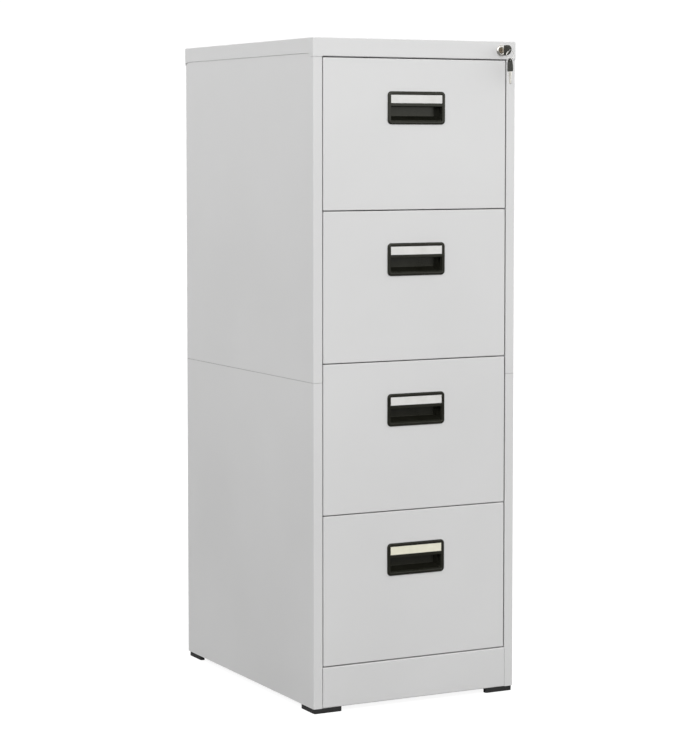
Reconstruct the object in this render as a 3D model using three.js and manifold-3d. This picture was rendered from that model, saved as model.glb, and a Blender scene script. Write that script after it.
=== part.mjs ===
// A four-drawer steel filing cabinet with a recessed pull and label card on each drawer, full-extension
// slides, and one lock that lifts a bar behind the right-hand stile to hold every drawer shut.
//
// Millimetres, +X to the right as seen from the front, +Y to the back, +Z up. The shapes are drawn about
// the middle of the cabinet's footprint; the last lines move everything back so that the origin is the
// bottom centre of the whole object's box, the key in the lock included.
import * as THREE from 'three';
import { mergeVertices } from 'three/addons/utils/BufferGeometryUtils.js';
import Module from 'manifold-3d';

// ---- Driving dimensions ---------------------------------------------------------------------------

const WIDTH = 460;
const DEPTH = 620;
const HEIGHT = 1330;
const DRAWER_COUNT = 4;

const SHEET = 0.8;             // folded body and drawer sheet
const TOUCH = 0.3;             // gap kept between pieces that rest on each other
const BEND = 2;                // outside radius of a fold
const BEND_STEPS = 3;

const CAP_FRONT_LIP = 36.4;
const CAP_SIDE_LIP = 29.8;
const CAP_CORNER_WRAP = 9;     // how far the front and rear lips' full height runs round the corner
const CAP_RETURN = 20;

const STILE = 20.1;            // width of the upright strip beside the drawers
const FRONT_RETURN = 40;       // depth of the folded uprights that carry the slides
const REAR_RETURN = 57;
const SEAM_HEIGHT = 656;       // where the upper and lower body halves meet
const SEAM_GAP = 0.4;
const FLANGE = 12;
const BODY_FIT = 0.4;          // gap beside a panel that slips between the uprights

const FOOT_HEIGHT = 10;
const FOOT_WIDTH = 62;
const FOOT_DEPTH = 60;
const FOOT_SIDE_INSET = 1.5;
const FOOT_FRONT_INSET = 1;
const FOOT_REAR_INSET = 4.5;
const FOOT_CORNER = 4;
const FOOT_ARM = 9;             // width of the two ribs that stand on the floor
const FOOT_PLATE = 2.5;         // the plate above them
const PLINTH_TOP = 91;
const PLINTH_RETURN = 20;
const BASE_UPSTAND = 30;

const DRAWER_GAP = 2.4;        // above, below and between the drawer fronts
const DRAWER_SIDE_GAP = 2.4;
const FRONT_DEPTH = 22;
const FRONT_LIP = 10;          // the rear edge folded in again
const TUB_RISE = 10;           // tub's bottom above the bottom of its front
const TUB_TOP_ROOM = 53;       // tub's top below the top of its front
const TUB_REAR_ROOM = 55;
const HEM_WIDTH = 6;
const HEM_DEPTH = 10;

const SLIDE_SPACE = 14.8;      // between a tub's side and the upright
const RAIL_SHEET = 1.2;
const RAIL_BEND = 1.5;
const RAIL_RISE = 75;          // slide centre above the bottom of its front
const CABINET_RAIL_HEIGHT = 45;
const MID_RAIL_HEIGHT = 32;
const DRAWER_RAIL_HEIGHT = 20;
const RAIL_WEB_ROOM = 1;       // sideways running clearance inside a slide
const RAIL_FRONT_INSET = 25;
const RAIL_REAR_ROOM = 42;
const RAIL_STEP_BACK = 9;      // each inner member ends this much sooner

const HANDLE_WIDTH = 130;
const HANDLE_HEIGHT = 65.4;
const HANDLE_DROP = 63.9;      // handle's top below the top of its front
const HANDLE_CORNER = 8;
const HANDLE_PROUD = 3;
const HANDLE_DEPTH = 20;       // behind the face of the drawer front
const BEAD = 6.8;              // width of the raised rim
const CARD_HEIGHT = 16.8;
const GRIP_HEIGHT = 6.4;
const CARD_RECESS = 1.8;
const CARD_PLATE = 3;
const CARD_THICK = 0.5;
const POCKET_WALL = 1.6;
const POCKET_FLOOR_RISE = 9.6;
const CUTOUT_MARGIN = 4;       // rim's overlap on the drawer front

const LOCK_FROM_SIDE = 35;
const LOCK_DROP = 18.5;
const BARREL_DIAMETER = 18;
const BARREL_LENGTH = 20;
const BEZEL_DIAMETER = 22;
const BEZEL_THICK = 2.5;
const CLIP_DIAMETER = 26;       // the ring that holds the barrel from behind the lip
const CLIP_THICK = 2;
const PLUG_DIAMETER = 12;
const LOCK_FIT = 0.3;
const DRIVE_DISC_DIAMETER = 16;
const DRIVE_DISC_THICK = 2;
const PIN_DIAMETER = 5;
const PIN_RADIUS = 5;          // from the plug's axis to the drive pin
const PIN_FIT = 0.35;
const ROUND_STEPS = 32;

const BAR_THICK = 2;
const BAR_WIDTH = 12;
const BAR_BEHIND_DISC = 2.7;
const BAR_BOTTOM = 110;
const ARM_HEIGHT = 18;
const ARM_REACH = 7;           // past the lock's axis
const HOOK_HEIGHT = 14;
const HOOK_REACH = 8.8;        // into the space beside the tub
const EAR_RISE = 130;          // catch ear above the bottom of its front
const EAR_HEIGHT = 10;
const EAR_THICK = 2;
const EAR_GAP = 1.5;           // between hook and ear, both ways
const SLOT_ROOM = 1;

const KEY_SHEET = 1.8;
const KEY_BLADE_WIDTH = 7.5;
const KEY_BLADE_LENGTH = 16.5;
const KEY_COLLAR_WIDTH = 11;
const KEY_COLLAR_LENGTH = 9;
const KEY_TANG = 9;
const KEY_HEAD_LENGTH = 28;
const KEY_HEAD_WIDTH = 21;
const KEY_HEAD_THICK = 3.6;
const KEY_HEAD_STRAIGHT = 10;
const KEY_HOLE_DIAMETER = 5;
const KEY_HOLE_INSET = 5;
const RING_DIAMETER = 16;
const RING_WIRE = 1.2;
const RING_FIT = 0.4;

// ---- Planes and heights that follow from them -----------------------------------------------------

const skinX = WIDTH / 2 - SHEET - TOUCH;
const faceY = -(DEPTH / 2 - SHEET - TOUCH);
const backY = DEPTH / 2 - SHEET - TOUCH;
const sideRearY = backY - SHEET - TOUCH;
const stileX = skinX - STILE;
const bodyTop = HEIGHT - SHEET - TOUCH;
const capLipBottom = HEIGHT - CAP_FRONT_LIP;
const panelX = stileX - BODY_FIT;

const openingHeight = capLipBottom - PLINTH_TOP;
const frontHeight = (openingHeight - DRAWER_GAP * (DRAWER_COUNT + 1)) / DRAWER_COUNT;
const frontX = stileX - DRAWER_SIDE_GAP;
const frontRearY = faceY + FRONT_DEPTH;
const tubX = stileX - SLIDE_SPACE;
const tubFrontY = frontRearY + TOUCH;
const tubRearY = backY - TUB_REAR_ROOM;

const lockX = WIDTH / 2 - LOCK_FROM_SIDE;
const lockZ = HEIGHT - LOCK_DROP;
const bezelFrontY = -DEPTH / 2 - TOUCH - BEZEL_THICK;
const barrelRearY = -DEPTH / 2 + BARREL_LENGTH;
const discRearY = barrelRearY + TOUCH + DRIVE_DISC_THICK;
const barY = discRearY + BAR_BEHIND_DISC;
const barX = (stileX + skinX) / 2;
const pinOffset = PIN_RADIUS * Math.SQRT1_2;
const barLift = 2 * pinOffset;
const slotY = [barY - SLOT_ROOM, barY + BAR_THICK + SLOT_ROOM];

const shoulderY = bezelFrontY - TOUCH - KEY_COLLAR_LENGTH;
const keyHoleY = shoulderY - TOUCH - KEY_HEAD_LENGTH + KEY_HOLE_INSET;
const wireInHole = (KEY_HOLE_DIAMETER - RING_WIRE) / 2 - RING_FIT;
const ringZ = lockZ - wireInHole - RING_DIAMETER / 2;
const keyEndY = keyHoleY - KEY_HOLE_INSET;

function drawerBottom(number) {
  return PLINTH_TOP + DRAWER_GAP + (DRAWER_COUNT - number) * (frontHeight + DRAWER_GAP);
}

const drawers = Array.from({ length: DRAWER_COUNT }, (_, index) => index + 1);
const sides = [['left', -1], ['right', 1]];

// ---- Solids ---------------------------------------------------------------------------------------

const wasm = await Module();
wasm.setup();

function solid(geometry) {
  const bare = geometry.clone();
  bare.deleteAttribute('normal');
  bare.deleteAttribute('uv');
  const merged = mergeVertices(bare, 1e-4);
  const vertProperties = Float32Array.from(merged.attributes.position.array);
  const triVerts = Uint32Array.from(merged.index.array);
  return new wasm.Manifold(new wasm.Mesh({ numProp: 3, vertProperties, triVerts }));
}

function join(...geometries) {
  return geometries.map(solid).reduce((whole, next) => whole.add(next));
}

function cut(whole, ...tools) {
  return tools.map(solid).reduce((rest, tool) => rest.subtract(tool), whole);
}

function toGeometry(manifold) {
  const mesh = manifold.getMesh();
  const geometry = new THREE.BufferGeometry();
  geometry.setAttribute('position', new THREE.BufferAttribute(mesh.vertProperties, 3));
  geometry.setIndex(new THREE.BufferAttribute(mesh.triVerts, 1));
  return geometry;
}

const basis = {
  x: new THREE.Matrix4().makeBasis(
    new THREE.Vector3(0, 1, 0), new THREE.Vector3(0, 0, 1), new THREE.Vector3(1, 0, 0)),
  y: new THREE.Matrix4().makeBasis(
    new THREE.Vector3(1, 0, 0), new THREE.Vector3(0, 0, 1), new THREE.Vector3(0, -1, 0)),
  z: new THREE.Matrix4(),
};

// A prism of an outline along one axis. The outline's two numbers are (y, z) for x, (x, z) for y and
// (x, y) for z.
function prism(axis, outline, from, to) {
  const shape = outline instanceof THREE.Shape
    ? outline
    : new THREE.Shape(outline.map(([a, b]) => new THREE.Vector2(a, b)));
  const geometry = new THREE.ExtrudeGeometry(shape, {
    depth: to - from,
    bevelEnabled: false,
    curveSegments: BEND_STEPS * 4,
  });
  geometry.applyMatrix4(basis[axis]);
  const start = axis === 'y' ? to : from;
  return geometry.translate(axis === 'x' ? start : 0, axis === 'y' ? start : 0, axis === 'z' ? start : 0);
}

function block([x0, x1], [y0, y1], [z0, z1]) {
  const box = new THREE.BoxGeometry(Math.abs(x1 - x0), Math.abs(y1 - y0), Math.abs(z1 - z0));
  return box.translate((x0 + x1) / 2, (y0 + y1) / 2, (z0 + z1) / 2);
}

function roundedRectangle(halfA, halfB, radius) {
  const shape = new THREE.Shape();
  const a = halfA - radius;
  const b = halfB - radius;
  shape.absarc(a, b, radius, 0, Math.PI / 2);
  shape.absarc(-a, b, radius, Math.PI / 2, Math.PI);
  shape.absarc(-a, -b, radius, Math.PI, Math.PI * 1.5);
  shape.absarc(a, -b, radius, Math.PI * 1.5, Math.PI * 2);
  return shape.getPoints(BEND_STEPS).map((point) => [point.x, point.y]);
}

// The section of a folded sheet. The corners lie on one face of the sheet, its thickness is to the left
// of the way they run, and every fold between the first and last corner is rounded.
function foldedSection(corners, thickness = SHEET, radius = BEND) {
  const face = [];
  const back = [];
  const points = corners.map(([a, b]) => new THREE.Vector2(a, b));
  points.forEach((point, index) => {
    const came = index > 0 ? point.clone().sub(points[index - 1]).normalize() : null;
    const goes = index < points.length - 1 ? points[index + 1].clone().sub(point).normalize() : null;
    const along = came ?? goes;
    const left = new THREE.Vector2(-along.y, along.x);
    if (!came || !goes) {
      face.push(point);
      back.push(point.clone().addScaledVector(left, thickness));
      return;
    }
    const turn = Math.atan2(came.cross(goes), came.dot(goes));
    const hand = Math.sign(turn);
    const faceRadius = hand > 0 ? radius : radius - thickness;
    const backRadius = faceRadius - hand * thickness;
    const tangent = faceRadius * Math.tan(Math.abs(turn) / 2);
    const centre = point.clone().addScaledVector(came, -tangent).addScaledVector(left, hand * faceRadius);
    for (let step = 0; step <= BEND_STEPS; step += 1) {
      const spoke = left.clone().multiplyScalar(-hand);
      spoke.rotateAround(new THREE.Vector2(), (turn * step) / BEND_STEPS);
      face.push(centre.clone().addScaledVector(spoke, faceRadius));
      back.push(centre.clone().addScaledVector(spoke, backRadius));
    }
  });
  return [...face, ...back.reverse()].map((point) => [point.x, point.y]);
}

function mirrored(outline, side) {
  return outline.map(([a, b]) => [side * a, b]);
}

// ---- Finishes -------------------------------------------------------------------------------------

const finishes = {
  body: { color: 0xd6d6d4, roughness: 0.45, metalness: 0 },
  rail: { color: 0xb9bcbe, roughness: 0.3, metalness: 1 },
  handle: { color: 0x34342f, roughness: 0.5, metalness: 0 },
  card: { color: 0xdddcd8, roughness: 0.8, metalness: 0 },
  foot: { color: 0x303030, roughness: 0.7, metalness: 0 },
  lock: { color: 0xc9c8c2, roughness: 0.22, metalness: 1 },
  keyHead: { color: 0x33342c, roughness: 0.5, metalness: 0 },
};

const cabinet = new THREE.Group();

function piece(name, shape, finish) {
  const geometry = shape instanceof THREE.BufferGeometry ? shape : toGeometry(shape);
  const mesh = new THREE.Mesh(geometry, new THREE.MeshStandardMaterial(finishes[finish]));
  mesh.name = name;
  cabinet.add(mesh);
  return mesh;
}

// ---- Lock places that other pieces follow ---------------------------------------------------------

function hookSpan(number) {
  const top = drawerBottom(number) + EAR_RISE - EAR_GAP;
  return [top - HOOK_HEIGHT, top];
}

const armMiddle = lockZ - pinOffset;
const armSpan = [armMiddle - ARM_HEIGHT / 2, armMiddle + ARM_HEIGHT / 2];

// ---- Body -----------------------------------------------------------------------------------------

// One side of the body in one folded sheet per half: stile, front upright, skin and rear upright.
const sidePlan = foldedSection([
  [stileX, faceY + FRONT_RETURN],
  [stileX, faceY],
  [skinX, faceY],
  [skinX, sideRearY],
  [stileX, sideRearY],
  [stileX, sideRearY - REAR_RETURN],
]);

function sidePanel(side, bottom, top, flangeHeights) {
  const flangeX = [side * (skinX - SHEET / 2), side * (skinX - SHEET - FLANGE)];
  const flangeY = [faceY + FRONT_RETURN, sideRearY - REAR_RETURN];
  const flanges = flangeHeights.map((z) => block(flangeX, flangeY, [z, z + SHEET]));
  const panel = join(prism('z', mirrored(sidePlan, side), bottom, top), ...flanges);
  return side > 0 ? cut(panel, ...uprightSlots()) : panel;
}

// Openings in the right-hand front upright that the lock bar's hooks and arm pass through.
function uprightSlots() {
  const slotX = [stileX - SHEET, stileX + 2 * SHEET];
  const hooks = drawers.map((number) => {
    const [low, high] = hookSpan(number);
    return block(slotX, slotY, [low - SLOT_ROOM, high + barLift + SLOT_ROOM]);
  });
  return [...hooks, block(slotX, slotY, [armSpan[0] - SLOT_ROOM, HEIGHT])];
}

const seamBelow = SEAM_HEIGHT - SEAM_GAP / 2;
const seamAbove = SEAM_HEIGHT + SEAM_GAP / 2;

sides.forEach(([hand, side]) => {
  const upperFlanges = [seamAbove, bodyTop - SHEET];
  const lowerFlanges = [FOOT_HEIGHT, seamBelow - SHEET];
  piece(`side_panel_upper_${hand}`, sidePanel(side, seamAbove, bodyTop, upperFlanges), 'body');
  piece(`side_panel_lower_${hand}`, sidePanel(side, FOOT_HEIGHT, seamBelow, lowerFlanges), 'body');
});

function backPanel(bottom, top, flangeHeights) {
  const plateX = skinX - BEND;
  const plate = block([-plateX, plateX], [backY - SHEET, backY], [bottom, top]);
  const flangeY = [backY - SHEET - FLANGE, backY - SHEET / 2];
  const flanges = flangeHeights.map((z) => block([-panelX, panelX], flangeY, [z, z + SHEET]));
  return join(plate, ...flanges);
}

piece('back_panel_upper', backPanel(seamAbove, bodyTop, [seamAbove, bodyTop - SHEET]), 'body');
piece('back_panel_lower', backPanel(FOOT_HEIGHT, seamBelow, [seamBelow - SHEET]), 'body');

// A tray turned upside down. Its side lips are shorter than the front and rear ones, and the front one
// is folded back to make the head rail above the top drawer.
function topCap() {
  const outer = roundedRectangle(WIDTH / 2, DEPTH / 2, BEND);
  const inner = roundedRectangle(WIDTH / 2 - SHEET, DEPTH / 2 - SHEET, BEND - SHEET);
  const headRail = block(
    [-panelX, panelX],
    [-DEPTH / 2 + SHEET / 2, -DEPTH / 2 + SHEET + CAP_RETURN],
    [capLipBottom, capLipBottom + SHEET]);
  const shell = cut(
    join(prism('z', outer, capLipBottom, HEIGHT)),
    prism('z', inner, capLipBottom - SHEET, HEIGHT - SHEET));
  const reliefs = sides.map(([, side]) => block(
    [side * (WIDTH / 2 - 3 * BEND), side * (WIDTH / 2 + SHEET)],
    [-DEPTH / 2 + CAP_CORNER_WRAP, DEPTH / 2 - CAP_CORNER_WRAP],
    [capLipBottom - SHEET, HEIGHT - CAP_SIDE_LIP]));
  const lockHole = new THREE.CylinderGeometry(
    BARREL_DIAMETER / 2 + LOCK_FIT, BARREL_DIAMETER / 2 + LOCK_FIT, 4 * SHEET, ROUND_STEPS);
  lockHole.translate(lockX, -DEPTH / 2 + SHEET / 2, lockZ);
  return cut(shell.add(solid(headRail)), ...reliefs, lockHole);
}

piece('top_cap', topCap(), 'body');

// A folded pan that closes the bottom. Its front edge stands up as the plinth below the last drawer.
function basePan() {
  const section = foldedSection([
    [faceY + PLINTH_RETURN, PLINTH_TOP],
    [faceY, PLINTH_TOP],
    [faceY, FOOT_HEIGHT],
    [sideRearY, FOOT_HEIGHT],
    [sideRearY, FOOT_HEIGHT + BASE_UPSTAND],
  ]);
  const upstands = sides.map(([, side]) => block(
    [side * panelX, side * (panelX - SHEET)],
    [faceY + BEND, sideRearY - BEND],
    [FOOT_HEIGHT + SHEET / 2, FOOT_HEIGHT + BASE_UPSTAND]));
  return join(prism('x', section, -panelX, panelX), ...upstands);
}

piece('base_pan', basePan(), 'body');

const footPlan = roundedRectangle(FOOT_WIDTH / 2, FOOT_DEPTH / 2, FOOT_CORNER);
const footX = skinX - FOOT_SIDE_INSET - FOOT_WIDTH / 2;
const footRows = [
  ['front', -1, faceY + FOOT_FRONT_INSET + FOOT_DEPTH / 2],
  ['rear', 1, sideRearY - FOOT_REAR_INSET - FOOT_DEPTH / 2],
];

// A corner pad: a plate with two ribs under it, along the outer edges of the corner it stands at.
function cornerFoot(side, end) {
  const pad = prism('z', footPlan, 0, FOOT_HEIGHT - TOUCH);
  const hollow = block(
    [side * (FOOT_WIDTH / 2 - FOOT_ARM), -side * FOOT_WIDTH],
    [end * (FOOT_DEPTH / 2 - FOOT_ARM), -end * FOOT_DEPTH],
    [-TOUCH, FOOT_HEIGHT - TOUCH - FOOT_PLATE]);
  return cut(solid(pad), hollow);
}

footRows.forEach(([row, end, y]) => sides.forEach(([hand, side]) => {
  const foot = piece(`foot_${row}_${hand}`, cornerFoot(side, end), 'foot');
  foot.position.set(side * footX, y, 0);
}));

// ---- Slides ---------------------------------------------------------------------------------------

// Distances outward from the tub's side: the drawer rail opens outward, the other two open inward.
const drawerWeb = TOUCH;
const cabinetWeb = SLIDE_SPACE - TOUCH;
const midWeb = cabinetWeb - RAIL_SHEET - 2 * RAIL_WEB_ROOM;
const drawerRailTip = midWeb - RAIL_SHEET - RAIL_WEB_ROOM;
const openTip = drawerWeb + RAIL_SHEET + RAIL_WEB_ROOM;

function railSection(side, web, tip, height) {
  const corners = [[web, -height / 2], [web, height / 2]];
  const ends = [[tip, -height / 2], [tip, height / 2]];
  const line = web > tip ? [ends[0], ...corners, ends[1]] : [ends[1], ...corners.reverse(), ends[0]];
  const section = foldedSection(line, RAIL_SHEET, RAIL_BEND);
  return mirrored(section.map(([u, z]) => [tubX + u, z]), side);
}

const railFrontY = faceY + RAIL_FRONT_INSET;
const railRearY = sideRearY - RAIL_REAR_ROOM;
const rails = [
  ['cabinet_rail', cabinetWeb, openTip, CABINET_RAIL_HEIGHT, railRearY],
  ['mid_rail', midWeb, openTip, MID_RAIL_HEIGHT, railRearY - RAIL_STEP_BACK],
  ['drawer_rail', drawerWeb, drawerRailTip, DRAWER_RAIL_HEIGHT, railRearY - 2 * RAIL_STEP_BACK],
];

drawers.forEach((number) => sides.forEach(([hand, side]) => {
  rails.forEach(([name, web, tip, height, rearY]) => {
    const rail = prism('y', railSection(side, web, tip, height), railFrontY, rearY);
    piece(`${name}_${number}_${hand}`, rail, 'rail').position.z = drawerBottom(number) + RAIL_RISE;
  });
}));

// ---- Drawers --------------------------------------------------------------------------------------

// Each drawer piece is drawn with the bottom of the drawer front at z = 0.
const handleTop = frontHeight - HANDLE_DROP;
const handleMiddle = handleTop - HANDLE_HEIGHT / 2;
const cutoutX = HANDLE_WIDTH / 2 - CUTOUT_MARGIN;
const cutoutZ = [handleTop - HANDLE_HEIGHT + CUTOUT_MARGIN, handleTop - CUTOUT_MARGIN];
const rimRearY = faceY - TOUCH;
const rimFrontY = rimRearY - HANDLE_PROUD;

// A shallow pan folded back all round, with its rear edges folded in, and a window for the handle.
function drawerFront() {
  const outer = block([-frontX, frontX], [faceY, frontRearY], [0, frontHeight]);
  const inside = block(
    [-frontX + SHEET, frontX - SHEET],
    [faceY + SHEET, frontRearY - SHEET],
    [SHEET, frontHeight - SHEET]);
  const rearOpening = block(
    [-frontX + FRONT_LIP, frontX - FRONT_LIP],
    [frontRearY - 2 * SHEET, frontRearY + SHEET],
    [FRONT_LIP, frontHeight - FRONT_LIP]);
  const window = block([-cutoutX, cutoutX], [faceY - SHEET, faceY + 2 * SHEET], cutoutZ);
  return cut(join(outer), inside, rearOpening, window);
}

// The drawer's open box. Its sides are hemmed outward at the top to carry hanging folders, and a catch
// ear stands out on the right for the lock bar.
function drawerTub() {
  const top = frontHeight - TUB_TOP_ROOM;
  const hemX = tubX + HEM_WIDTH;
  const section = foldedSection([
    [-hemX, top - HEM_DEPTH],
    [-hemX, top],
    [-tubX, top],
    [-tubX, TUB_RISE],
    [tubX, TUB_RISE],
    [tubX, top],
    [hemX, top],
    [hemX, top - HEM_DEPTH],
  ]);
  const endX = [-tubX + SHEET / 2, tubX - SHEET / 2];
  const endZ = [TUB_RISE + SHEET / 2, top - BEND];
  const earY = barY + BAR_THICK + EAR_GAP;
  return join(
    prism('y', section, tubFrontY, tubRearY),
    block(endX, [tubFrontY, tubFrontY + SHEET], endZ),
    block(endX, [tubRearY - SHEET, tubRearY], endZ),
    block([tubX - SHEET / 2, stileX - EAR_GAP], [earY, earY + EAR_THICK], [EAR_RISE, EAR_RISE + EAR_HEIGHT]));
}

// A moulded pull: a raised rim round a label recess, a grip bar below it, and a finger pocket that
// runs back through the window and up behind the label.
function drawerHandle() {
  const cardTop = handleTop - BEAD;
  const gripTop = cardTop - CARD_HEIGHT;
  const gripBottom = gripTop - GRIP_HEIGHT;
  const pocketBottom = handleTop - HANDLE_HEIGHT + BEAD;
  const pocketRearY = faceY + HANDLE_DEPTH - POCKET_WALL;
  const cardFaceY = rimFrontY + CARD_RECESS;
  const pocketX = HANDLE_WIDTH / 2 - BEAD;
  const rim = prism('y', roundedRectangle(HANDLE_WIDTH / 2, HANDLE_HEIGHT / 2, HANDLE_CORNER), rimFrontY, rimRearY);
  rim.translate(0, 0, handleMiddle);
  const cup = [
    [rimFrontY + CARD_RECESS, pocketBottom - POCKET_WALL],
    [faceY, pocketBottom - POCKET_WALL],
    [pocketRearY + POCKET_WALL, pocketBottom + POCKET_FLOOR_RISE - POCKET_WALL],
    [pocketRearY + POCKET_WALL, cardTop + POCKET_WALL],
    [rimFrontY + CARD_RECESS, cardTop + POCKET_WALL],
  ];
  const hollow = [
    [rimFrontY - SHEET, pocketBottom],
    [faceY, pocketBottom],
    [pocketRearY, pocketBottom + POCKET_FLOOR_RISE],
    [pocketRearY, cardTop],
    [cardFaceY + CARD_PLATE, cardTop],
    [cardFaceY + CARD_PLATE, gripBottom],
    [rimFrontY - SHEET, gripBottom],
  ];
  const cupX = pocketX + POCKET_WALL;
  return cut(
    join(rim, prism('x', cup, -cupX, cupX)),
    prism('x', hollow, -pocketX, pocketX),
    block([-pocketX, pocketX], [rimFrontY - SHEET, cardFaceY], [gripTop, cardTop]));
}

function labelCard() {
  const cardX = HANDLE_WIDTH / 2 - BEAD - TOUCH;
  const cardRearY = rimFrontY + CARD_RECESS - TOUCH;
  const cardTop = handleTop - BEAD - TOUCH;
  const cardBottom = handleTop - BEAD - CARD_HEIGHT + TOUCH;
  return block([-cardX, cardX], [cardRearY - CARD_THICK, cardRearY], [cardBottom, cardTop]);
}

const drawerPieces = [
  ['drawer_front', drawerFront(), 'body'],
  ['drawer_tub', drawerTub(), 'body'],
  ['handle', drawerHandle(), 'handle'],
  ['label_card', labelCard(), 'card'],
];

drawers.forEach((number) => drawerPieces.forEach(([name, shape, finish]) => {
  piece(`${name}_${number}`, shape, finish).position.z = drawerBottom(number);
}));

// ---- Lock -----------------------------------------------------------------------------------------

function lathe(profile) {
  return new THREE.LatheGeometry(profile.map(([r, y]) => new THREE.Vector2(r, y)), ROUND_STEPS);
}

function lockBarrel() {
  const bore = PLUG_DIAMETER / 2 + LOCK_FIT;
  const chamfer = BEZEL_THICK / 3;
  const ring = [
    [bore, bezelFrontY],
    [BEZEL_DIAMETER / 2 - chamfer, bezelFrontY],
    [BEZEL_DIAMETER / 2, bezelFrontY + chamfer],
    [BEZEL_DIAMETER / 2, bezelFrontY + BEZEL_THICK],
    [BARREL_DIAMETER / 2, bezelFrontY + BEZEL_THICK],
    [BARREL_DIAMETER / 2, barrelRearY],
    [bore, barrelRearY],
    [bore, bezelFrontY],
  ];
  return join(lathe(ring));
}

function lockClip() {
  const frontY = -DEPTH / 2 + SHEET + TOUCH;
  const inner = BARREL_DIAMETER / 2 + LOCK_FIT;
  return join(lathe([
    [inner, frontY],
    [CLIP_DIAMETER / 2, frontY],
    [CLIP_DIAMETER / 2, frontY + CLIP_THICK],
    [inner, frontY + CLIP_THICK],
    [inner, frontY],
  ]));
}

// The part that the key turns, with a disc behind the barrel and an off-centre pin that lifts the bar.
function lockPlug() {
  const discFrontY = barrelRearY + TOUCH;
  const body = lathe([
    [0, bezelFrontY],
    [PLUG_DIAMETER / 2, bezelFrontY],
    [PLUG_DIAMETER / 2, discFrontY],
    [DRIVE_DISC_DIAMETER / 2, discFrontY],
    [DRIVE_DISC_DIAMETER / 2, discRearY],
    [0, discRearY],
  ]);
  const pinFrontY = discRearY - DRIVE_DISC_THICK / 2;
  const pinRearY = barY + BAR_THICK + EAR_GAP;
  const pin = new THREE.CylinderGeometry(
    PIN_DIAMETER / 2, PIN_DIAMETER / 2, pinRearY - pinFrontY, ROUND_STEPS);
  pin.translate(-pinOffset, (pinFrontY + pinRearY) / 2, -pinOffset);
  const slotHalfX = KEY_SHEET / 2 + LOCK_FIT;
  const slotHalfZ = KEY_BLADE_WIDTH / 2 + LOCK_FIT;
  const keySlot = block(
    [-slotHalfX, slotHalfX],
    [bezelFrontY - SHEET, bezelFrontY + KEY_BLADE_LENGTH + SLOT_ROOM],
    [-slotHalfZ, slotHalfZ]);
  return cut(join(body, pin), keySlot);
}

piece('lock_barrel', lockBarrel(), 'lock').position.set(lockX, 0, lockZ);
piece('lock_clip', lockClip(), 'rail').position.set(lockX, 0, lockZ);
piece('lock_plug', lockPlug(), 'lock').position.set(lockX, 0, lockZ);

// One flat bar inside the right-hand upright, with an arm that the plug's pin works and a hook for
// each drawer. It is drawn unlocked: every hook is just below and in front of its drawer's ear.
function lockBar() {
  const y = [barY, barY + BAR_THICK];
  const x = [barX - BAR_WIDTH / 2, barX + BAR_WIDTH / 2];
  const strip = block(x, y, [BAR_BOTTOM, armSpan[1]]);
  const armStart = lockX - PIN_RADIUS - PIN_DIAMETER / 2 - ARM_REACH;
  const arm = block([armStart, x[1]], y, armSpan);
  const hooks = drawers.map((number) => block([stileX - HOOK_REACH, x[1]], y, hookSpan(number)));
  const pinHalf = PIN_DIAMETER / 2 + PIN_FIT;
  const pinSlot = block(
    [lockX - PIN_RADIUS - pinHalf, lockX - pinOffset + pinHalf],
    [barY - SHEET, barY + BAR_THICK + SHEET],
    [armMiddle - pinHalf, armMiddle + pinHalf]);
  return cut(join(strip, arm, ...hooks), pinSlot);
}

piece('lock_bar', lockBar(), 'rail');

// ---- Keys -----------------------------------------------------------------------------------------

// The key is drawn in (reach, width): reach 0 is the head's shoulder, the blade runs to negative reach.
const bladeOutline = [
  [KEY_TANG, -KEY_BLADE_WIDTH / 2],
  [KEY_TANG, KEY_BLADE_WIDTH / 2],
  [-TOUCH, KEY_BLADE_WIDTH / 2],
  [-TOUCH, KEY_COLLAR_WIDTH / 2],
  [-KEY_COLLAR_LENGTH, KEY_COLLAR_WIDTH / 2],
  [-KEY_COLLAR_LENGTH - TOUCH, KEY_BLADE_WIDTH / 2],
  [-KEY_COLLAR_LENGTH - KEY_BLADE_LENGTH + KEY_BLADE_WIDTH / 3, KEY_BLADE_WIDTH / 2],
  [-KEY_COLLAR_LENGTH - KEY_BLADE_LENGTH, KEY_BLADE_WIDTH / 8],
  [-KEY_COLLAR_LENGTH - KEY_BLADE_LENGTH, -KEY_BLADE_WIDTH / 8],
  [-KEY_COLLAR_LENGTH - KEY_BLADE_LENGTH + KEY_BLADE_WIDTH / 3, -KEY_BLADE_WIDTH / 2],
  [-KEY_COLLAR_LENGTH - TOUCH, -KEY_BLADE_WIDTH / 2],
  [-KEY_COLLAR_LENGTH, -KEY_COLLAR_WIDTH / 2],
  [-TOUCH, -KEY_COLLAR_WIDTH / 2],
  [-TOUCH, -KEY_BLADE_WIDTH / 2],
];

function headOutline() {
  const shape = new THREE.Shape();
  const half = KEY_HEAD_WIDTH / 2;
  shape.moveTo(0, -half);
  shape.lineTo(KEY_HEAD_STRAIGHT, -half);
  shape.absellipse(KEY_HEAD_STRAIGHT, 0, KEY_HEAD_LENGTH - KEY_HEAD_STRAIGHT, half, -Math.PI / 2, Math.PI / 2);
  shape.lineTo(0, half);
  const hole = new THREE.Path();
  hole.absarc(KEY_HEAD_LENGTH - KEY_HOLE_INSET, 0, KEY_HOLE_DIAMETER / 2, 0, Math.PI * 2, true);
  shape.holes.push(hole);
  return shape;
}

function keyHead() {
  const head = prism('x', headOutline(), -KEY_HEAD_THICK / 2, KEY_HEAD_THICK / 2);
  const tangX = KEY_SHEET / 2 + TOUCH;
  const tangZ = KEY_BLADE_WIDTH / 2 + TOUCH;
  const tangSlot = block([-tangX, tangX], [-SHEET, KEY_TANG + TOUCH], [-tangZ, tangZ]);
  return cut(join(head), tangSlot);
}

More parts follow.
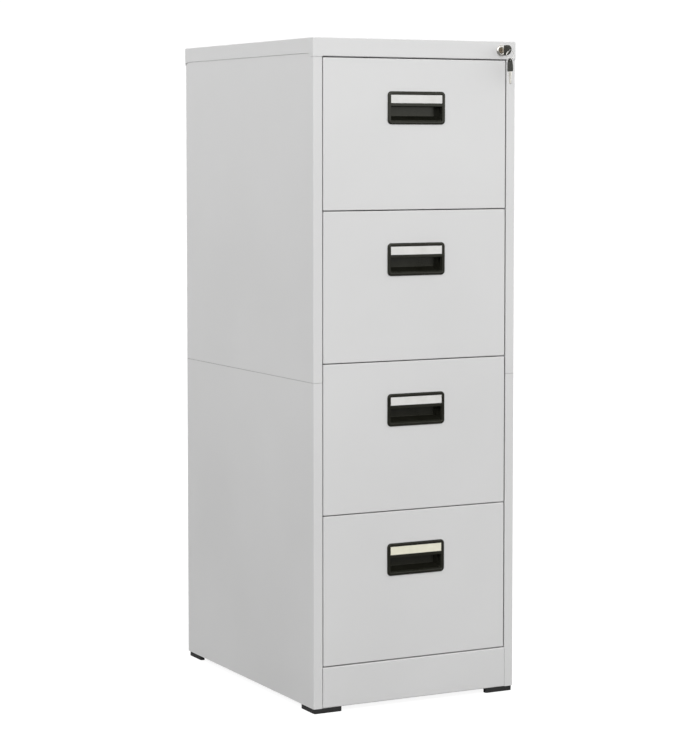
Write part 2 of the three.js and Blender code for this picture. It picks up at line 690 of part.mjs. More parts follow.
// In the lock the head points forward and stands upright.
const keyPieces = [
  piece('key_blade', prism('x', bladeOutline, -KEY_SHEET / 2, KEY_SHEET / 2), 'lock'),
  piece('key_head', keyHead(), 'keyHead'),
];

keyPieces.forEach((mesh) => {
  mesh.rotation.x = Math.PI;
  mesh.position.set(lockX, shoulderY, lockZ);
});

const ring = new THREE.TorusGeometry(RING_DIAMETER / 2, RING_WIRE / 2, 8, ROUND_STEPS);
const ringMesh = piece('key_ring', ring, 'lock');
ringMesh.rotation.x = Math.PI / 2;
ringMesh.position.set(lockX, keyHoleY, ringZ);

// ---- Origin ---------------------------------------------------------------------------------------

cabinet.position.y = -(keyEndY + DEPTH / 2) / 2;

export default cabinet;
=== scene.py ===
# A four-drawer steel filing cabinet: folded grey sheet, black moulded pulls with label cards, telescopic
# slides behind the drawers, and one nickel lock with a key in it and a spare on a ring.
# Metres, +X right as seen from the front, +Y back, +Z up.
import math
import random

import bmesh
import bpy
from mathutils import Matrix, Vector


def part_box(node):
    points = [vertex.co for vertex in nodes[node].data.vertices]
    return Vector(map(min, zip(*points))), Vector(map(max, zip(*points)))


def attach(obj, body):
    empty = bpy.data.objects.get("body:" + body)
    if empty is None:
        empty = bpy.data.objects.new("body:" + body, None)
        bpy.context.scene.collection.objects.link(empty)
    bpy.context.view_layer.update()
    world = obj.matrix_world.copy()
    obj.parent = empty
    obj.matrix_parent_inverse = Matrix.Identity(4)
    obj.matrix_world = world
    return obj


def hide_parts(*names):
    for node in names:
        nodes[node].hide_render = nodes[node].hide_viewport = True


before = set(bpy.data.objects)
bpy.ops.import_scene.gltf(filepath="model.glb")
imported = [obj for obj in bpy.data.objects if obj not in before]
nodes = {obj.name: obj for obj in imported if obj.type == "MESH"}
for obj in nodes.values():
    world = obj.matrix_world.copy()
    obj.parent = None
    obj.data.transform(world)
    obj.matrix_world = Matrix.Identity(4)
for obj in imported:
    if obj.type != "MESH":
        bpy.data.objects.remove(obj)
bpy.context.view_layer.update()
MM = 0.001

# ---- Camera ---------------------------------------------------------------------------------------
# A long lens a little above the middle of the cabinet and round to its left, tilted down only slightly
# so the uprights stay upright. The lens is shifted instead, to bring the plinth and feet into the frame.

HEADING, TILT = math.radians(27.506), math.radians(-3.616)
CAMERA_PLACE = (-2.2835, -4.389, 1.1219)
LENS, SENSOR, LENS_SHIFT = 113.12, 36, -0.1085
FAR = 60


def add(name, data):
    """A new object in the scene, made from a mesh, lamp or camera."""
    made = bpy.data.objects.new(name, data)
    bpy.context.collection.objects.link(made)
    return made


def facing(direction):
    """The turn that points a camera or lamp along the direction."""
    return direction.to_track_quat("-Z", "Y").to_euler()


camera_data = bpy.data.cameras.new("camera")
camera_data.lens = LENS
camera_data.sensor_width = SENSOR
camera_data.shift_y = LENS_SHIFT
camera_data.clip_end = FAR
camera = add("camera", camera_data)
camera.location = CAMERA_PLACE
along = math.cos(TILT)
camera.rotation_euler = facing(
    Vector((math.sin(HEADING) * along, math.cos(HEADING) * along, math.sin(TILT))))
bpy.context.scene.camera = camera

# ---- Studio ---------------------------------------------------------------------------------------
# A white floor that runs out of sight, a white surround that is dimmer overhead, and three soft boxes: a
# strong one before the front, a weak one at the left side, and one behind to the right for the back.

BACKDROP = 1.05
SKY, OVERHEAD = 1.6, 0.3
FLOOR_REACH, FLOOR_TONE, FLOOR_GLOW = 30, 0.24, 0.9


def for_camera(tree, otherwise, in_view):
    """Shows the camera one shader and gives every other ray the other."""
    path = tree.nodes.new("ShaderNodeLightPath")
    either = tree.nodes.new("ShaderNodeMixShader")
    tree.links.new(path.outputs["Is Camera Ray"], either.inputs["Fac"])
    tree.links.new(otherwise, either.inputs[1])
    tree.links.new(in_view, either.inputs[2])
    return either.outputs["Shader"]


scene = bpy.context.scene
scene.view_settings.view_transform = "Standard"
world = bpy.data.worlds.new("studio")
scene.world = world
world.use_nodes = True
tree = world.node_tree
tree.nodes.clear()
seen = tree.nodes.new("ShaderNodeBackground")
seen.inputs["Color"].default_value = (1, 1, 1, 1)
seen.inputs["Strength"].default_value = BACKDROP
lit = tree.nodes.new("ShaderNodeBackground")
lit.inputs["Color"].default_value = (1, 1, 1, 1)
toward = tree.nodes.new("ShaderNodeTexCoord")
height = tree.nodes.new("ShaderNodeSeparateXYZ")
fall = tree.nodes.new("ShaderNodeMapRange")
fall.inputs["To Min"].default_value = SKY
fall.inputs["To Max"].default_value = SKY * OVERHEAD
tree.links.new(toward.outputs["Generated"], height.inputs["Vector"])
tree.links.new(height.outputs["Z"], fall.inputs["Value"])
tree.links.new(fall.outputs["Result"], lit.inputs["Strength"])
world_out = tree.nodes.new("ShaderNodeOutputWorld")
shown = for_camera(tree, lit.outputs["Background"], seen.outputs["Background"])
tree.links.new(shown, world_out.inputs["Surface"])


def soft_box(name, place, aim_z, size, power):
    """A square-cornered area lamp that faces the cabinet's middle line at the height given."""
    data = bpy.data.lights.new(name, "AREA")
    data.shape = "RECTANGLE"
    data.size, data.size_y = size
    data.energy = power
    lamp = add(name, data)
    lamp.location = place
    lamp.rotation_euler = facing(Vector((0, 0, aim_z)) - lamp.location)


soft_box("key_light", (0.0, -3.2, 2.5), 1.0, (1.8, 1.4), 37)
soft_box("side_light", (-2.7, 0.1, 2.3), 1.1, (1.6, 1.4), 10)
soft_box("rear_light", (1.8, 2.8, 2.3), 0.9, (1.8, 1.4), 16)

floor_mesh = bpy.data.meshes.new("floor")
corners = [(x * FLOOR_REACH, y * FLOOR_REACH, 0) for x, y in ((-1, -1), (1, -1), (1, 1), (-1, 1))]
floor_mesh.from_pydata(corners, [], [(0, 1, 2, 3)])
floor = add("floor", floor_mesh)
floor_paint = bpy.data.materials.new("floor_white")
floor_paint.use_nodes = True
tree = floor_paint.node_tree
tree.nodes.clear()
matt = tree.nodes.new("ShaderNodeBsdfDiffuse")
matt.inputs["Color"].default_value = (FLOOR_TONE, FLOOR_TONE, FLOOR_TONE, 1)
glow = tree.nodes.new("ShaderNodeEmission")
glow.inputs["Strength"].default_value = FLOOR_GLOW
lifted = tree.nodes.new("ShaderNodeAddShader")
tree.links.new(matt.outputs["BSDF"], lifted.inputs[0])
tree.links.new(glow.outputs["Emission"], lifted.inputs[1])
floor_out = tree.nodes.new("ShaderNodeOutputMaterial")
shown = for_camera(tree, matt.outputs["BSDF"], lifted.outputs["Shader"])
tree.links.new(shown, floor_out.inputs["Surface"])
floor_mesh.materials.append(floor_paint)

# ---- Side, back and base panels -------------------------------------------------------------------
# The carcase is 0.8 mm steel, folded and spot-welded: two sides and a back in an upper and a lower half
# that bolt together, and a base pan whose front edge is the plinth. All are powder-coated light grey.


def grain_group():
    """Slow tone drift, fine speckle and orange-peel height that every finish here draws on."""
    group = bpy.data.node_groups.new("surface_grain", "ShaderNodeTree")
    for name, value in (("Drift Scale", 4.0), ("Speckle Scale", 900.0), ("Peel Scale", 350.0)):
        socket = group.interface.new_socket(name, in_out="INPUT", socket_type="NodeSocketFloat")
        socket.default_value = value
    for name in ("Drift", "Speckle", "Height"):
        group.interface.new_socket(name, in_out="OUTPUT", socket_type="NodeSocketFloat")
    links, make = group.links, group.nodes.new
    inlet, outlet = make("NodeGroupInput"), make("NodeGroupOutput")
    where = make("ShaderNodeTexCoord")
    for scale, out, detail in (
            ("Drift Scale", "Drift", 3), ("Speckle Scale", "Speckle", 1), ("Peel Scale", "Height", 2)):
        noise = make("ShaderNodeTexNoise")
        noise.inputs["Detail"].default_value = detail
        links.new(where.outputs["Object"], noise.inputs["Vector"])
        links.new(inlet.outputs[scale], noise.inputs["Scale"])
        links.new(noise.outputs["Fac"], outlet.inputs[out])
    return group


GRAIN = grain_group()
GRAIN_LOW, GRAIN_HIGH = 0.3, 0.7


def edge_wear_and_highlight_group():
    """A mask that is 1 along the outer corners and fades out over the width given. The finishes lighten their
    colour there, partly as rubbed wear and partly as a painted highlight where the bends would catch the
    light.
    """
    group = bpy.data.node_groups.new("edge_wear_and_painted_highlight", "ShaderNodeTree")
    width = group.interface.new_socket("Width", in_out="INPUT", socket_type="NodeSocketFloat")
    width.default_value = 0.0012
    group.interface.new_socket("Edge", in_out="OUTPUT", socket_type="NodeSocketFloat")
    links, make = group.links, group.nodes.new
    inlet, outlet = make("NodeGroupInput"), make("NodeGroupOutput")
    eased = make("ShaderNodeBevel")
    eased.samples = 4
    links.new(inlet.outputs["Width"], eased.inputs["Radius"])
    flat = make("ShaderNodeNewGeometry")
    match = make("ShaderNodeVectorMath")
    match.operation = "DOT_PRODUCT"
    links.new(eased.outputs["Normal"], match.inputs[0])
    links.new(flat.outputs["Normal"], match.inputs[1])
    turned_away = make("ShaderNodeMapRange")
    turned_away.inputs["From Min"].default_value = 0.99
    turned_away.inputs["From Max"].default_value = 0.86
    links.new(match.outputs["Value"], turned_away.inputs["Value"])
    links.new(turned_away.outputs["Result"], outlet.inputs["Edge"])
    return group


EDGE_WEAR_AND_HIGHLIGHT = edge_wear_and_highlight_group()


def finish(
        name, dark, light, roughness, peel, scales, metallic=0.0, speckle=0.12, edge=(1.0, 0.0), width=1.2):
    """A material whose colour, roughness and bump come from the shared grain, with edges lightened partly as
    rubbed wear and partly as a painted highlight.

    edge is how much lighter an edge is (painted highlight) and how much its roughness drops; width is in
    millimetres."""
    paint = bpy.data.materials.new(name)
    paint.use_nodes = True
    tree = paint.node_tree
    make, links = tree.nodes.new, tree.links
    shader = tree.nodes["Principled BSDF"]
    shader.inputs["Metallic"].default_value = metallic
    grain = make("ShaderNodeGroup")
    grain.node_tree = GRAIN
    for socket, value in zip(("Drift Scale", "Speckle Scale", "Peel Scale"), scales):
        grain.inputs[socket].default_value = value
    mixed = make("ShaderNodeMix")
    mixed.data_type = "FLOAT"
    mixed.inputs["Factor"].default_value = speckle
    links.new(grain.outputs["Drift"], mixed.inputs["A"])
    links.new(grain.outputs["Speckle"], mixed.inputs["B"])
    ramp = make("ShaderNodeValToRGB")
    ramp.color_ramp.elements[0].position = GRAIN_LOW
    ramp.color_ramp.elements[1].position = GRAIN_HIGH
    ramp.color_ramp.elements[0].color = (*dark, 1)
    ramp.color_ramp.elements[1].color = (*light, 1)
    links.new(mixed.outputs["Result"], ramp.inputs["Fac"])
    wear_and_highlight = make("ShaderNodeGroup")
    wear_and_highlight.node_tree = EDGE_WEAR_AND_HIGHLIGHT
    wear_and_highlight.inputs["Width"].default_value = width * MM
    # Painted highlight: along the edge mask the colour is lifted toward a lighter tone.
    bright = make("ShaderNodeMix")
    bright.data_type = "RGBA"
    bright.inputs["B"].default_value = (*(min(1.0, c * edge[0]) for c in light), 1)
    links.new(wear_and_highlight.outputs["Edge"], bright.inputs["Factor"])
    links.new(ramp.outputs["Color"], bright.inputs["A"])
    links.new(bright.outputs["Result"], shader.inputs["Base Color"])
    spread = make("ShaderNodeMapRange")
    spread.inputs["From Min"].default_value = GRAIN_LOW
    spread.inputs["From Max"].default_value = GRAIN_HIGH
    spread.inputs["To Min"].default_value = roughness[0]
    spread.inputs["To Max"].default_value = roughness[1]
    links.new(mixed.outputs["Result"], spread.inputs["Value"])
    polished = make("ShaderNodeMath")
    polished.operation = "MULTIPLY_ADD"
    polished.inputs[1].default_value = -edge[1]
    links.new(wear_and_highlight.outputs["Edge"], polished.inputs[0])
    links.new(spread.outputs["Result"], polished.inputs[2])
    links.new(polished.outputs["Value"], shader.inputs["Roughness"])
    bump = make("ShaderNodeBump")
    bump.inputs["Strength"].default_value = 1.0
    bump.inputs["Distance"].default_value = peel
    links.new(grain.outputs["Height"], bump.inputs["Height"])
    links.new(bump.outputs["Normal"], shader.inputs["Normal"])
    return paint


# The powder coat's edges are lightened as a painted highlight, standing in for the light the folded bends
# catch.
POWDER = finish(
    "powder_coat_grey", (0.665, 0.665, 0.663), (0.70, 0.70, 0.698), (0.42, 0.52), 0.00003,
    (3.0, 1400.0, 700.0), edge=(1.15, 0.08), width=2.0)


def crease_shade_group():
    """A mask that is 1 deep in an inside corner and just under an overhanging lip, where the coat is darkened
    as painted shade.
    """
    group = bpy.data.node_groups.new("painted_crease_shade", "ShaderNodeTree")
    reach = group.interface.new_socket("Reach", in_out="INPUT", socket_type="NodeSocketFloat")
    reach.default_value = 0.003
    group.interface.new_socket("Crease", in_out="OUTPUT", socket_type="NodeSocketFloat")
    links, make = group.links, group.nodes.new
    inlet, outlet = make("NodeGroupInput"), make("NodeGroupOutput")
    hemmed_in = make("ShaderNodeAmbientOcclusion")
    hemmed_in.samples = 6
    links.new(inlet.outputs["Reach"], hemmed_in.inputs["Distance"])
    amount = make("ShaderNodeMapRange")
    amount.inputs["From Min"].default_value = 0.9
    amount.inputs["From Max"].default_value = 0.6
    links.new(hemmed_in.outputs["AO"], amount.inputs["Value"])
    links.new(amount.outputs["Result"], outlet.inputs["Crease"])
    return group


def joint_shade_group():
    """A mask that is 1 along a level joint at the height given and fades out within about 1 mm, where the
    shade of the gap between the halves is painted on.
    """
    group = bpy.data.node_groups.new("painted_joint_shade", "ShaderNodeTree")
    group.interface.new_socket("Height", in_out="INPUT", socket_type="NodeSocketFloat")
    group.interface.new_socket("Joint", in_out="OUTPUT", socket_type="NodeSocketFloat")
    links, make = group.links, group.nodes.new
    inlet, outlet = make("NodeGroupInput"), make("NodeGroupOutput")
    where = make("ShaderNodeTexCoord")
    parts = make("ShaderNodeSeparateXYZ")
    links.new(where.outputs["Object"], parts.inputs["Vector"])
    offset = make("ShaderNodeMath")
    offset.operation = "SUBTRACT"
    links.new(parts.outputs["Z"], offset.inputs[0])
    links.new(inlet.outputs["Height"], offset.inputs[1])
    distance = make("ShaderNodeMath")
    distance.operation = "ABSOLUTE"
    links.new(offset.outputs["Value"], distance.inputs[0])
    fade = make("ShaderNodeMapRange")
    fade.inputs["From Min"].default_value = 0.0011
    fade.inputs["From Max"].default_value = 0.0004
    links.new(distance.outputs["Value"], fade.inputs["Value"])
    links.new(fade.outputs["Result"], outlet.inputs["Joint"])
    return group


def darken(paint, group, socket, value, share):
    """Multiplies a finish's colour down by the share given wherever the group's mask is 1."""
    tree = paint.node_tree
    shader = tree.nodes["Principled BSDF"]
    plain = shader.inputs["Base Color"].links[0].from_socket
    mask = tree.nodes.new("ShaderNodeGroup")
    mask.node_tree = group
    mask.inputs[socket].default_value = value
    shaded = tree.nodes.new("ShaderNodeMix")
    shaded.data_type = "RGBA"
    shaded.blend_type = "MULTIPLY"
    shaded.inputs["B"].default_value = (1 - share, 1 - share, 1 - share, 1)
    tree.links.new(mask.outputs[0], shaded.inputs["Factor"])
    tree.links.new(plain, shaded.inputs["A"])
    tree.links.new(shaded.outputs["Result"], shader.inputs["Base Color"])


CREASE_SHADE_MASK, JOINT_SHADE_MASK = crease_shade_group(), joint_shade_group()
CREASE_REACH, CREASE_SHADE, JOINT_SHADE = 3 * MM, 0.5, 0.3


def coat(piece, paint):
    """Gives the piece one finish all over."""
    piece.data.materials.clear()
    piece.data.materials.append(paint)


def settle(piece):
    """Keeps what the piece's modifiers make of it as its plain mesh."""
    bpy.context.view_layer.update()
    made = piece.evaluated_get(bpy.context.evaluated_depsgraph_get())
    mesh = bpy.data.meshes.new_from_object(made)
    piece.modifiers.clear()
    piece.data = mesh


def smooth(piece, crease=40):
    """Rounds the shading over the bends, keeps the flats flat, and leaves corners sharper than the crease."""
    if piece.modifiers:
        settle(piece)
    for face in piece.data.polygons:
        face.use_smooth = True
    piece.data.set_sharp_from_angle(angle=math.radians(crease))
    weighted = piece.modifiers.new("weighted_normals", "WEIGHTED_NORMAL")
    weighted.weight = 100
    weighted.keep_sharp = True


joint_z = (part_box("side_panel_upper_left")[0].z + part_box("side_panel_lower_left")[1].z) / 2
for name, node in nodes.items():
    if name.startswith(("base_pan", "drawer_tub")):
        coat(node, POWDER)
        smooth(node)
    if name.startswith(("side_panel", "back_panel")):
        skin = POWDER.copy()
        skin.name = f"powder_coat_{name}"
        # Painted shade: the coat is darkened in creases and just under the cap's lip, where shade falls.
        darken(skin, CREASE_SHADE_MASK, "Reach", CREASE_REACH, CREASE_SHADE)
        height = (node.matrix_world.inverted() @ Vector((0, 0, joint_z))).z
        # Painted shade: a dark line along the joint between the upper and lower halves.
        darken(skin, JOINT_SHADE_MASK, "Height", height, JOINT_SHADE)
        coat(node, skin)
        smooth(node)

# ---- Screws in the back ---------------------------------------------------------------------------
# Zinc-plated pan-head screws hold the two back panels to the rear uprights. Each head is turned, with
# a pressed cross in it.


def from_loops(name, loops, start_cap=False, end_cap=False):
    """Joins rings of points, each with as many points as the last, and closes the ends if asked."""
    mesh = bpy.data.meshes.new(name)
    count = len(loops[0])
    points = [point for loop in loops for point in loop]
    faces = []
    for ring in range(len(loops) - 1):
        for i in range(count):
            j = (i + 1) % count
            faces.append((ring * count + i, ring * count + j, (ring + 1) * count + j, (ring + 1) * count + i))
    if start_cap:
        faces.append(tuple(reversed(range(count))))
    if end_cap:
        last = (len(loops) - 1) * count
        faces.append(tuple(range(last, last + count)))
    mesh.from_pydata(points, [], faces)
    build = bmesh.new()
    build.from_mesh(mesh)
    bmesh.ops.remove_doubles(build, verts=build.verts, dist=1e-7)
    bmesh.ops.recalc_face_normals(build, faces=build.faces)
    build.to_mesh(mesh)
    build.free()
    return add(name, mesh)


def turned(name, profile, steps=40):
    """A lathe-turned piece about Y: the profile is (radius, y) from one end on the axis to the other."""
    loops = []
    for radius, y in profile:
        angles = [math.tau * k / steps for k in range(steps)]
        loops.append([(radius * math.cos(a), y, radius * math.sin(a)) for a in angles])
    return from_loops(name, loops, profile[0][0] > 0, profile[-1][0] > 0)


def merged(name, parts):
    """Makes one object of several and removes them."""
    build = bmesh.new()
    for part in parts:
        start = len(build.verts)
        build.from_mesh(part.data)
        build.verts.ensure_lookup_table()
        bmesh.ops.transform(build, matrix=part.matrix_basis, verts=build.verts[start:])
    mesh = bpy.data.meshes.new(name)
    build.to_mesh(mesh)
    build.free()
    for part in parts:
        old = part.data
        bpy.data.objects.remove(part)
        if old.users == 0:
            bpy.data.meshes.remove(old)
    return add(name, mesh)


def carve(piece, cutters, operation="DIFFERENCE"):
    """Cuts or joins with other objects, keeps the result as plain mesh and removes the others."""
    for cutter in cutters:
        step = piece.modifiers.new("carve", "BOOLEAN")
        step.operation = operation
        step.solver = "EXACT"
        step.object = cutter
    settle(piece)
    for cutter in cutters:
        bpy.data.objects.remove(cutter)


def bar(name, low, high):
    """A plain square-edged cutter."""
    (x0, y0, z0), (x1, y1, z1) = low, high
    loop = [(x0, y0), (x1, y0), (x1, y1), (x0, y1)]
    return from_loops(name, [[(x, y, z0) for x, y in loop], [(x, y, z1) for x, y in loop]], True, True)


ZINC = finish(
    "zinc_plate", (0.50, 0.51, 0.52), (0.66, 0.67, 0.68), (0.24, 0.42), 0.00001, (30.0, 500.0, 900.0),
    metallic=1.0, speckle=0.3, edge=(1.15, 0.08), width=0.5)

SCREW_HEAD, SCREW_RISE = 3.8 * MM, 1.7 * MM
SCREW_ROWS, SCREW_INSET = 5, 7 * MM
LOW_MARGIN, BOTH_MARGINS = 30 * MM, 75 * MM


def screw_head():
    """A low dome with a cross pressed into it, its flat side at y = 0."""
    dome = [
        (0.0, SCREW_RISE), (SCREW_HEAD * 0.5, SCREW_RISE * 0.95), (SCREW_HEAD * 0.82, SCREW_RISE * 0.72),
        (SCREW_HEAD, SCREW_RISE * 0.3), (SCREW_HEAD, 0.0), (0.0, 0.0)]
    head = turned("screw_head", dome, 24)
    arm, half, floor_y = SCREW_HEAD * 0.55, SCREW_HEAD * 0.13, SCREW_RISE * 0.45
    cross = [
        bar("cross_a", (-arm, floor_y, -half), (arm, 2 * SCREW_RISE, half)),
        bar("cross_b", (-half, floor_y, -arm), (half, 2 * SCREW_RISE, arm))]
    carve(head, cross)
    return head


head_form = screw_head()
screw_turn = random.Random(4)
for half in ("upper", "lower"):
    low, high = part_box(f"back_panel_{half}")
    rise = high.z - low.z - BOTH_MARGINS
    heads = []
    for side in (-1, 1):
        for row in range(SCREW_ROWS):
            head = bpy.data.objects.new("head", head_form.data)
            z = low.z + LOW_MARGIN + rise * row / (SCREW_ROWS - 1)
            spin = Matrix.Rotation(screw_turn.uniform(0, math.pi / 2), 4, "Y")
            head.matrix_basis = Matrix.Translation((side * (high.x - SCREW_INSET), high.y, z)) @ spin
            heads.append(head)
    screws = merged(f"back_screws_{half}", heads)
    coat(screws, ZINC)
    smooth(screws)
    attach(screws, "cabinet")
bpy.data.objects.remove(head_form)

# ---- Top cap --------------------------------------------------------------------------------------
# One sheet folded down all round and welded at the corners. Its front and rear lips are deeper than the
# side ones and run a little way round each corner, and the front lip turns back over the top drawer.

SHEET = 0.8 * MM
BEND = 2.0 * MM
ARC = 6
QUARTER = [math.pi / 2 * k / ARC for k in range(ARC + 1)]
CAP_EDGE = 1.5 * MM
CAP_WRAP, CAP_CURL, CAP_STEP = 4 * MM, 14 * MM, 6.6 * MM
CAP_FRONT_WRAP, CAP_FRONT_SLANT = 12 * MM, 7 * MM
CAP_RETURN, CAP_NOTCH = 20 * MM, 0.4 * MM
LOCK_HOLE, LOCK_HOLE_REACH = 9.3 * MM, 4 * MM


def rounded_loop(half_a, half_b, radius, steps=ARC):
    """A rectangle with round corners, anticlockwise from the right-hand side, as (a, b) pairs."""
    points = []
    for turn, (sa, sb) in enumerate(((1, 1), (-1, 1), (-1, -1), (1, -1))):
        for k in range(steps + 1):
            angle = math.pi / 2 * (turn + k / steps)
            points.append((
                sa * (half_a - radius) + radius * math.cos(angle),
                sb * (half_b - radius) + radius * math.sin(angle)))
    return points


cap_low, cap_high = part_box("top_cap")
cap_mid_y = (cap_low.y + cap_high.y) / 2
cap_half_x, cap_half_y = cap_high.x, (cap_high.y - cap_low.y) / 2
head_rail_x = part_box("side_panel_upper_right")[0].x - CAP_NOTCH


def cap_outline():
    """Plan points of the cap, and how far above the front lip's lower edge the sheet ends at each."""
    slant_y, curl_y = -cap_half_y + CAP_FRONT_WRAP, cap_half_y - CAP_WRAP
    front_to_back = [(slant_y + CAP_FRONT_SLANT * k / ARC, CAP_STEP * k / ARC) for k in range(ARC + 1)]
    front_to_back += [
        (curl_y - CAP_CURL * (1 - math.cos(t)), CAP_STEP * math.sin(t)) for t in reversed(QUARTER)]
    corners = [(x, y, 0.0) for x, y in rounded_loop(cap_half_x, cap_half_y, BEND)]
    corner = ARC + 1
    front = [
        (-head_rail_x - CAP_NOTCH, -cap_half_y, 0.0), (-head_rail_x, -cap_half_y, BEND),
        (head_rail_x, -cap_half_y, BEND), (head_rail_x + CAP_NOTCH, -cap_half_y, 0.0)]
    right = [(cap_half_x, y, rise) for y, rise in front_to_back]
    left = [(-cap_half_x, y, rise) for y, rise in reversed(front_to_back)]
    return (right + corners[:2 * corner] + left + corners[2 * corner:3 * corner] + front
            + corners[3 * corner:])


def fold_back(cap):
    """Turns the front lip's lower edge in: round the bend, then back over the top drawer."""
    build = bmesh.new()
    build.from_mesh(cap.data)
    start_z = cap_low.z + BEND
    edges = [
        edge for edge in build.edges
        if all(abs(v.co.z - start_z) < 1e-6 and v.co.y < cap_low.y + 1e-6 for v in edge.verts)
        and all(abs(v.co.x) < head_rail_x + 1e-6 for v in edge.verts)]
    moves = [
        (BEND * (math.cos(t0) - math.cos(t1)), -BEND * (math.sin(t1) - math.sin(t0)))
        for t0, t1 in zip(QUARTER, QUARTER[1:])]
    for back, up in moves + [(CAP_RETURN - BEND, 0.0)]:
        made = bmesh.ops.extrude_edge_only(build, edges=edges)["geom"]
        points = [g for g in made if isinstance(g, bmesh.types.BMVert)]
        bmesh.ops.translate(build, vec=(0, back, up), verts=points)
        edges = [g for g in made if isinstance(g, bmesh.types.BMEdge) and all(v in points for v in g.verts)]
    bmesh.ops.recalc_face_normals(build, faces=build.faces)
    build.to_mesh(cap.data)
    build.free()


def sheet_wall(skin):
    """Gives an outer skin the thickness of the sheet, inwards."""
    wall = skin.modifiers.new("sheet", "SOLIDIFY")
    wall.thickness = SHEET
    wall.offset = -1
    wall.use_even_offset = True


def top_cap():
    """The lips, the rolled upper edge, the flat top and the fold over the drawer, as one sheet."""
    outline = cap_outline()
    loops = [[(x, y + cap_mid_y, cap_low.z + rise) for x, y, rise in outline]]
    for angle in QUARTER:
        z = cap_high.z - CAP_EDGE * (1 - math.sin(angle))
        drawn_in = CAP_EDGE * (1 - math.cos(angle))
        across, along = 1 - drawn_in / cap_half_x, 1 - drawn_in / cap_half_y
        loops.append([(x * across, y * along + cap_mid_y, z) for x, y, _ in outline])
    cap = from_loops("top_cap_sheet", loops, end_cap=True)
    fold_back(cap)
    sheet_wall(cap)
    return cap


barrel_low, barrel_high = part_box("lock_barrel")
lock_x = (barrel_low.x + barrel_high.x) / 2
lock_z = (barrel_low.z + barrel_high.z) / 2
cap = top_cap()
lock_hole = turned("lock_hole", [(LOCK_HOLE, -LOCK_HOLE_REACH), (LOCK_HOLE, LOCK_HOLE_REACH)])
lock_hole.location = (lock_x, cap_low.y, lock_z)
carve(cap, [lock_hole])
coat(cap, POWDER)
smooth(cap)
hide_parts("top_cap")
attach(cap, "cabinet")

# ---- Drawer fronts --------------------------------------------------------------------------------
# Each front is a shallow pan: a flat face with crisp rounded edges, sides folded back 22 mm and turned
# in again behind, and a window for the pull.

FRONT_ARC, FRONT_CORNER = 1.6 * MM, 2.4 * MM
FRONT_FLANGE, FLANGE_CORNER = 10 * MM, 2 * MM
WINDOW_MARGIN, WINDOW_CORNER = 4 * MM, 3 * MM
HANG_LEFT, HANG_TALL = 1.0 * MM, 0.25 * MM


def drawer_front(number):
    """From the window's edge over the face, round the edges, down the sides and in along the flange."""
    low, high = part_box(f"drawer_front_{number}")
    pull_low, pull_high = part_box(f"handle_{number}")
    left_x = low.x - HANG_LEFT
    half_x, half_z = (high.x - left_x) / 2, (high.z - low.z) / 2 + HANG_TALL
    mid_x, mid_z = (high.x + left_x) / 2, (high.z + low.z) / 2
    window_z = (pull_low.z + pull_high.z) / 2
    window = rounded_loop((pull_high.x - pull_low.x) / 2 - WINDOW_MARGIN,
                          (pull_high.z - pull_low.z) / 2 - WINDOW_MARGIN, WINDOW_CORNER)
    loops = [[(x, low.y, window_z + z) for x, z in window]]
    bends = [(FRONT_ARC * (1 - math.sin(t)), low.y + FRONT_ARC * (1 - math.cos(t))) for t in QUARTER]
    bends += [(FRONT_ARC * (1 - math.cos(t)), high.y - FRONT_ARC * (1 - math.sin(t))) for t in QUARTER]
    for shrink, depth in bends:
        ring = rounded_loop(half_x - shrink, half_z - shrink, FRONT_CORNER - shrink)
        loops.append([(mid_x + x, depth, mid_z + z) for x, z in ring])
    lip = rounded_loop(half_x - FRONT_FLANGE, half_z - FRONT_FLANGE, FLANGE_CORNER)
    loops.append([(mid_x + x, high.y, mid_z + z) for x, z in lip])
    front = from_loops(f"drawer_face_{number}", loops)
    sheet_wall(front)
    return front


for number in (1, 2, 3, 4):
    front = drawer_front(number)
    coat(front, POWDER)
    smooth(front)
    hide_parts(f"drawer_front_{number}")
    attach(front, f"drawer_{number}")

# ---- Pulls ----------------------------------------------------------------------------------------
# A black-olive plastic moulding snapped into the window: a half-round rim, a shallow recess for the
# label, a grip bar under it, and a finger pocket with a sloping floor that also rises behind the label.

# The rims' edges are lightened strongly as a painted highlight along the beads.
PULL_BLACK = finish(
    "pull_plastic", (0.008, 0.008, 0.005), (0.017, 0.017, 0.013), (0.15, 0.22), 0.00001,
    (25.0, 800.0, 1500.0), speckle=0.35, edge=(3.2, 0.03), width=1.2)
pull_shader = PULL_BLACK.node_tree.nodes["Principled BSDF"]
pull_shader.inputs["Specular Tint"].default_value = (1.0, 1.0, 0.9, 1)
pull_shader.inputs["Specular IOR Level"].default_value = 0.36

RIM, RIM_DEPTH, RIM_INNER, RIM_OUTER = 6.8 * MM, 3.0 * MM, 1.8 * MM, 2.6 * MM
RIM_CORNER, PULL_CORNER = 1.4 * MM, 8.0 * MM
CARD_HEIGHT = 16.8 * MM
GRIP_HEIGHT, GRIP_CORNER, GRIP_OVERLAP = 6.4 * MM, 1.4 * MM, 1.2 * MM
RECESS = 1.8 * MM
PLATE = 3.0 * MM
PULL_WALL = 1.6 * MM
FLOOR_RISE = 9.6 * MM
SIDE_SLOPE = 8.5 * MM
EASE = 0.5 * MM


def box_loop(half_x, z0, z1, radius, y):
    """A round-cornered rectangle standing at depth y, from z0 to z1."""
    mid = (z0 + z1) / 2
    return [(a, y, mid + b) for a, b in rounded_loop(half_x, (z1 - z0) / 2, radius)]


